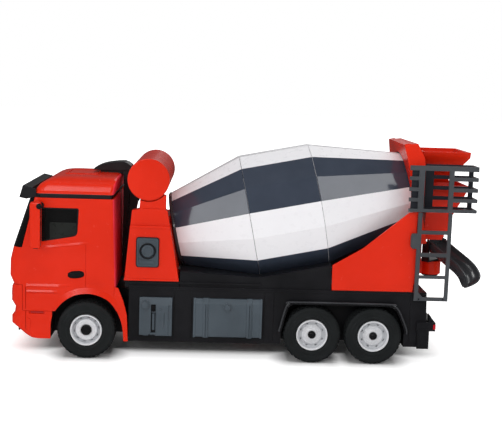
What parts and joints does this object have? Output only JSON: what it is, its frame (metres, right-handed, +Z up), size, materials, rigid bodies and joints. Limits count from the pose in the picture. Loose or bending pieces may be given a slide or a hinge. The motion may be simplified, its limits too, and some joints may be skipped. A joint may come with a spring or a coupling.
{
  "type": "toy cement mixer truck",
  "caption": "Toy cement mixer truck: cab, rotating faceted drum on a tilted axis, hopper, swivelling tilting chute, ladder and rail, steered front wheels, driven rear axle.",
  "frame": {"origin": "ground plane under the middle of the truck's overall length and width", "axes": "+X towards the tail, -Y the truck's left side, +Z up"},
  "size_m": [0.4442, 0.144, 0.2063],
  "materials": {
    "red_plastic": "semi-gloss moulded",
    "black_plastic": "fine moulded grain",
    "grey_plastic": "fine moulded grain",
    "dark_grey_plastic": "semi-gloss moulded",
    "drum_plastic": "semi-gloss white with dark grey stripes",
    "tyre_rubber": "matt rubber",
    "rim_silver": "silver paint on plastic, black centre cap",
    "window_tint": "dark tinted",
    "lamp_red": "clear red",
    "lamp_clear": "clear",
    "steel": "bright",
    "nylon": "natural nylon",
    "circuit_board": "solder mask"
  },
  "bodies": {
    "truck": {"chassis_body": "black_plastic", "underbody_plate": "black_plastic", "battery_door": "black_plastic", "battery_pack": "grey_plastic", "circuit_board": "circuit_board", "rear_bumper": "black_plastic", "tail_lamp_insert": "lamp_red", "battery_box_left": "grey_plastic", "fuel_tank_left": "grey_plastic", "fuel_tank_right": "grey_plastic", "steering_servo": "black_plastic", "drive_motor": "steel", "drum_motor": "steel", "cab_shell": "red_plastic", "cab_roof": "red_plastic", "cab_glazing": "window_tint", "cab_interior": "black_plastic", "sun_visor": "black_plastic", "front_bumper": "red_plastic", "headlamp_insert": "lamp_clear", "mirror_left": "red_plastic", "mirror_right": "red_plastic", "air_intake": "black_plastic", "pedestal": "red_plastic", "water_tank": "red_plastic", "control_panel": "grey_plastic", "rear_frame": "red_plastic", "rear_hood": "red_plastic", "filling_hopper": "red_plastic", "discharge_collector": "red_plastic", "access_ladder": "grey_plastic", "platform_rail": "grey_plastic"},
    "start_button": {"start_button": "grey_plastic"},
    "power_switch": {"power_switch": "red_plastic"},
    "drum": {"drum_front_cone": "drum_plastic", "drum_middle": "drum_plastic", "drum_rear_cone": "drum_plastic", "drum_gear_cap": "dark_grey_plastic"},
    "drum_pinion": {"drum_pinion": "nylon"},
    "leading_axle": {"drive_axle": "steel", "leading_rim_left": "rim_silver", "leading_rim_right": "rim_silver", "leading_tyre_left": "tyre_rubber", "leading_tyre_right": "tyre_rubber"},
    "trailing_axle": {"trailing_axle": "steel", "trailing_rim_left": "rim_silver", "trailing_rim_right": "rim_silver", "trailing_tyre_left": "tyre_rubber", "trailing_tyre_right": "tyre_rubber"},
    "motor_pinion": {"motor_pinion": "nylon"},
    "knuckle_left": {"steering_knuckle_left": "black_plastic"},
    "knuckle_right": {"steering_knuckle_right": "black_plastic"},
    "front_wheel_left": {"front_rim_left": "rim_silver", "front_tyre_left": "tyre_rubber"},
    "front_wheel_right": {"front_rim_right": "rim_silver", "front_tyre_right": "tyre_rubber"},
    "tie_rod": {"tie_rod": "nylon"},
    "servo_horn": {"servo_horn": "nylon"},
    "chute_swivel": {"chute_swivel": "black_plastic"},
    "chute": {"discharge_chute": "dark_grey_plastic"}
  },
  "joints": [
    {"name": "drum_spin", "type": "hinge", "parent": "truck", "child": "drum", "pos_m": [0.031, 0, 0.1342], "axis": [0.9799, 0, 0.1994], "continuous": true},
    {"name": "drum_pinion_spin", "type": "hinge", "parent": "truck", "child": "drum_pinion", "pos_m": [-0.07761, 0, 0.09373], "axis": [0.9799, 0, 0.1994], "continuous": true},
    {"name": "leading_axle_spin", "type": "hinge", "parent": "truck", "child": "leading_axle", "pos_m": [0.0577, 0, 0.02675], "axis": [0, 1, 0], "continuous": true},
    {"name": "motor_pinion_spin", "type": "hinge", "parent": "truck", "child": "motor_pinion", "pos_m": [0.0577, 0, 0.03795], "axis": [0, 1, 0], "continuous": true},
    {"name": "trailing_axle_spin", "type": "hinge", "parent": "truck", "child": "trailing_axle", "pos_m": [0.1151, 0, 0.02675], "axis": [0, 1, 0], "continuous": true},
    {"name": "steer_left", "type": "hinge", "parent": "truck", "child": "knuckle_left", "pos_m": [-0.151, -0.036, 0.02675], "axis": [0, 0, 1], "range_deg": [-15, 15]},
    {"name": "steer_right", "type": "hinge", "parent": "truck", "child": "knuckle_right", "pos_m": [-0.151, 0.036, 0.02675], "axis": [0, 0, 1], "range_deg": [-15, 15]},
    {"name": "tie_rod_slide", "type": "slide", "parent": "truck", "child": "tie_rod", "axis": [0, 1, 0], "range_m": [-0.0027, 0.0027]},
    {"name": "servo_horn_turn", "type": "hinge", "parent": "truck", "child": "servo_horn", "pos_m": [-0.131, 0, 0.0357], "axis": [0, 0, 1], "range_deg": [-15.5, 15.5]},
    {"name": "front_wheel_left_spin", "type": "hinge", "parent": "knuckle_left", "child": "front_wheel_left", "pos_m": [-0.151, -0.05, 0.02675], "axis": [0, 1, 0], "continuous": true},
    {"name": "front_wheel_right_spin", "type": "hinge", "parent": "knuckle_right", "child": "front_wheel_right", "pos_m": [-0.151, 0.05, 0.02675], "axis": [0, 1, 0], "continuous": true},
    {"name": "chute_swivel_turn", "type": "hinge", "parent": "truck", "child": "chute_swivel", "pos_m": [0.178, 0, 0.09], "axis": [0, 0, 1], "range_deg": [-15, 100]},
    {"name": "chute_tilt", "type": "hinge", "parent": "chute_swivel", "child": "chute", "pos_m": [0.18083, -0.00283, 0.107], "axis": [0.7071, 0.7071, 0], "range_deg": [-10, 6]},
    {"name": "start_button_press", "type": "slide", "parent": "truck", "child": "start_button", "axis": [0, 1, 0], "range_m": [0, 0.0015]},
    {"name": "power_switch_slide", "type": "slide", "parent": "truck", "child": "power_switch", "axis": [1, 0, 0], "range_m": [0, 0.004]}
  ],
  "couplings": [
    {"joint": "drum_pinion_spin", "follows": "drum_spin", "ratio": -3},
    {"joint": "motor_pinion_spin", "follows": "leading_axle_spin", "ratio": -2.2},
    {"joint": "steer_right", "follows": "steer_left", "ratio": 1},
    {"joint": "tie_rod_slide", "follows": "steer_left", "m_per_rad": 0.01},
    {"joint": "servo_horn_turn", "follows": "steer_left", "ratio": -1}
  ]
}
